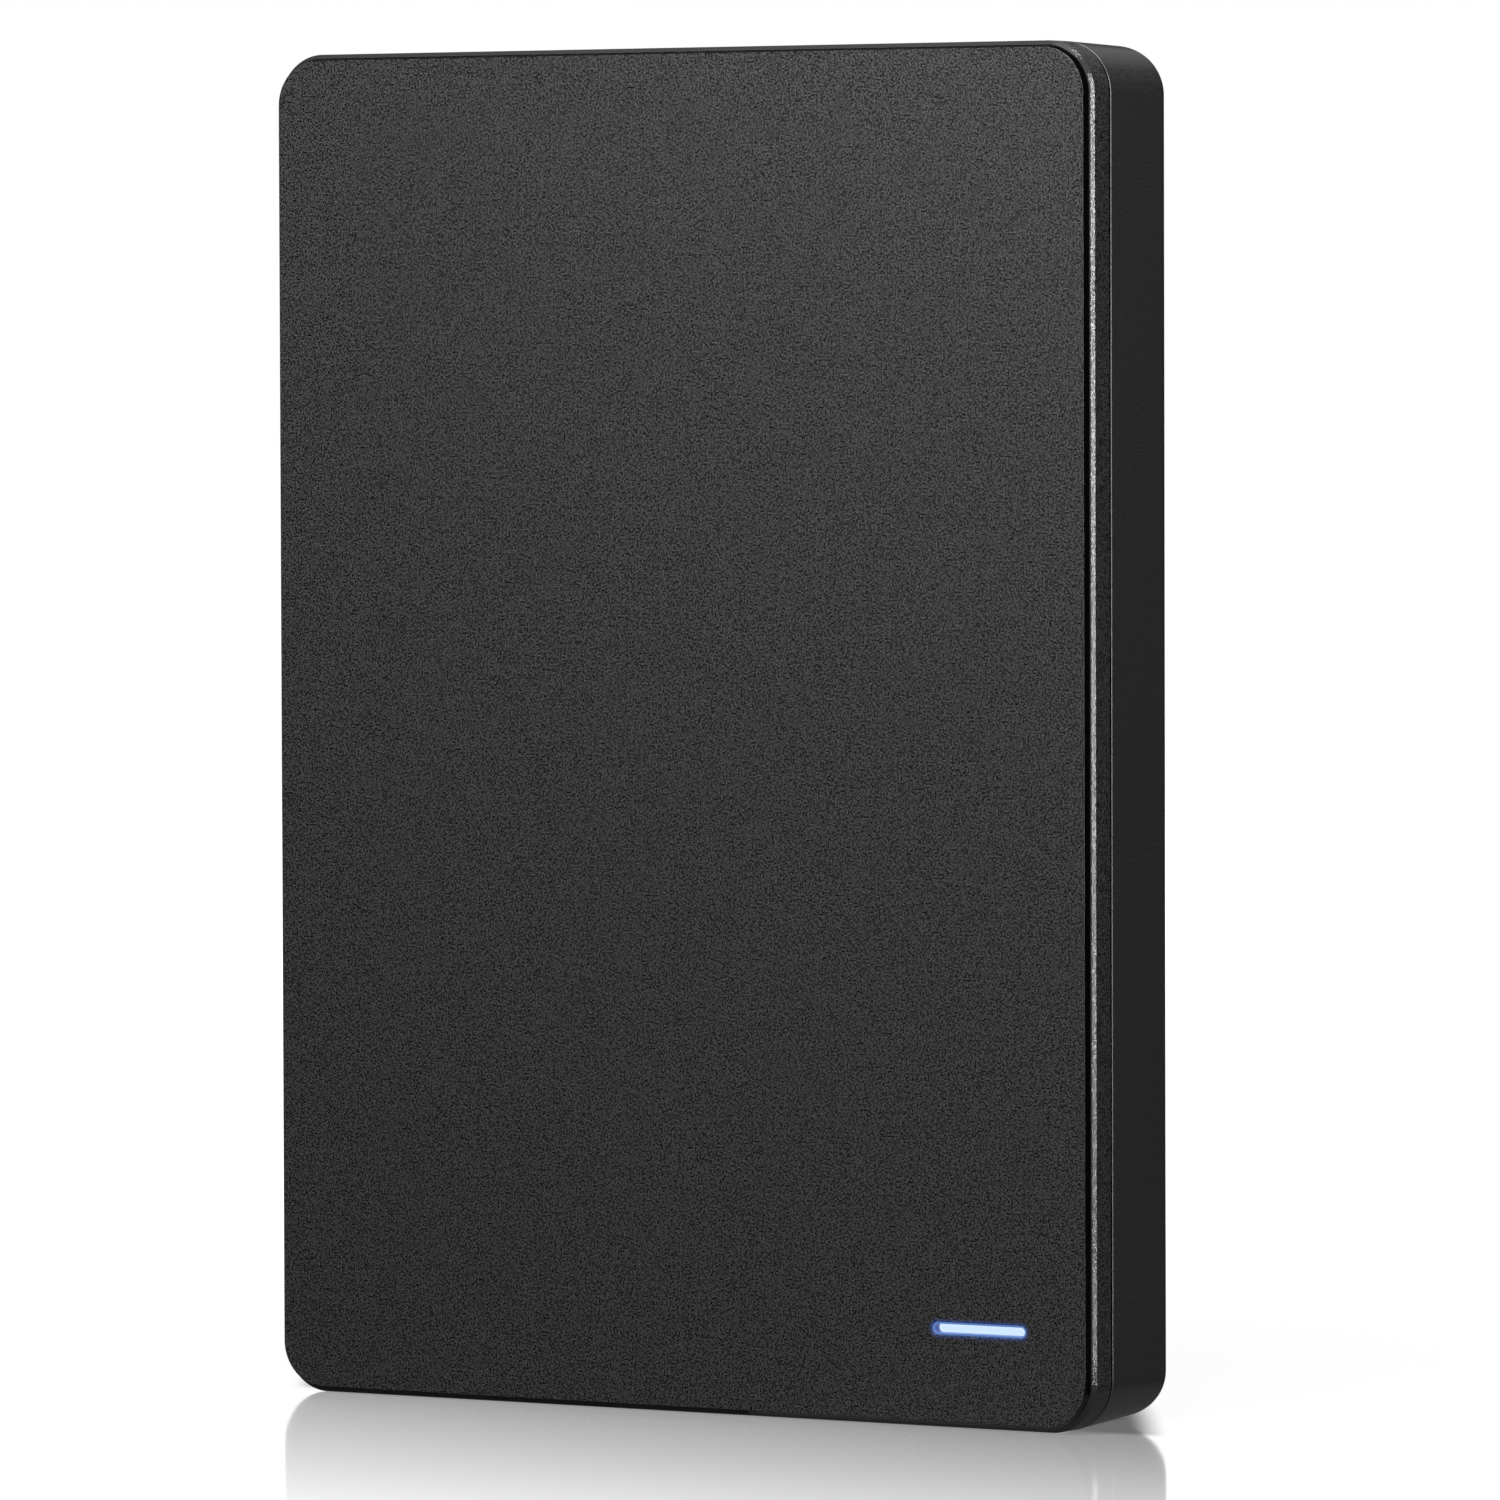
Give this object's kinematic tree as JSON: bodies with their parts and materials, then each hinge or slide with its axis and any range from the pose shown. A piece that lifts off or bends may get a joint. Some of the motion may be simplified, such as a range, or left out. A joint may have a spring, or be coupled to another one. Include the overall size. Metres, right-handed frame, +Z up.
{
  "type": "portable external hard drive",
  "caption": "Slim upright portable hard drive with a grained stepped face, a two-shell case, a status light bar, a USB socket and a working disk mechanism inside.",
  "frame": {"origin": "middle of the lower short edge the drive stands on", "axes": "+Z up along the drive's length, +X to the right across the face, the face looks along -Y and the back along +Y"},
  "size_m": [0.081, 0.0144, 0.116],
  "materials": {
    "front_plastic": "spark-eroded grain",
    "rear_plastic": "fine satin",
    "light_guide": "clear, lit blue",
    "foam": "open-cell foam",
    "bumper_rubber": "matte",
    "board_laminate": "solder mask",
    "connector_plastic": "moulded",
    "contact_gold": "gold plated",
    "socket_steel": "tin plated",
    "chip_epoxy": "moulded epoxy",
    "ferrite": "sintered",
    "led_body": "clear resin",
    "ceramic": "fired ceramic",
    "casting": "die cast",
    "cover_steel": "stamped",
    "gasket": "moulded",
    "bearing_steel": "ground",
    "stator_steel": "laminated",
    "copper_wire": "enamelled wire",
    "magnet": "nickel plated",
    "platter": "polished, sputtered",
    "arm_aluminium": "machined",
    "spring_steel": "rolled",
    "ramp_plastic": "moulded",
    "filter_cloth": "non-woven"
  },
  "bodies": {
    "case": {"front_shell": "front_plastic", "rear_shell": "rear_plastic", "light_guide": "light_guide", "front_pad": "foam", "rear_pad": "foam", "left_corner_bumper": "bumper_rubber", "right_corner_bumper": "bumper_rubber", "left_side_bumper": "bumper_rubber", "right_side_bumper": "bumper_rubber", "bridge_board": "board_laminate", "sata_socket": "connector_plastic", "sata_socket_contacts": "contact_gold", "usb_shell": "socket_steel", "usb_insulator": "connector_plastic", "usb_contacts": "contact_gold", "bridge_chip": "chip_epoxy", "flash_chip": "chip_epoxy", "crystal": "socket_steel", "power_inductor": "ferrite", "status_led": "led_body", "board_capacitors": "ceramic", "drive_base": "casting", "drive_cover": "cover_steel", "cover_gasket": "gasket", "drive_board": "board_laminate", "controller_chip": "chip_epoxy", "memory_chip": "chip_epoxy", "motor_chip": "chip_epoxy", "sata_plug": "connector_plastic", "sata_plug_contacts": "contact_gold", "spindle_sleeve": "bearing_steel", "stator_core": "stator_steel", "stator_windings": "copper_wire", "pivot_shaft": "bearing_steel", "lower_yoke": "magnet", "upper_yoke": "magnet", "lower_magnet": "magnet", "upper_magnet": "magnet", "yoke_posts": "bearing_steel", "end_stops": "gasket", "load_ramp": "ramp_plastic", "air_filter": "filter_cloth", "head_connector": "connector_plastic"},
    "spindle": {"spindle_hub": "bearing_steel", "lower_platter": "platter", "upper_platter": "platter", "platter_spacer": "arm_aluminium", "platter_clamp": "bearing_steel"},
    "actuator": {"pivot_bearing": "bearing_steel", "actuator_arm": "arm_aluminium", "voice_coil": "copper_wire", "lower_platter_back_head": "spring_steel", "lower_platter_front_head": "spring_steel", "upper_platter_back_head": "spring_steel", "upper_platter_front_head": "spring_steel"}
  },
  "joints": [
    {"name": "spindle_spin", "type": "hinge", "parent": "case", "child": "spindle", "pos_m": [0, -0.00119, 0.07737], "axis": [0, -1, 0], "continuous": true},
    {"name": "actuator_swing", "type": "hinge", "parent": "case", "child": "actuator", "pos_m": [0.013, -0.00119, 0.0391], "axis": [0, 1, 0], "range_deg": [0, 33.9]}
  ]
}
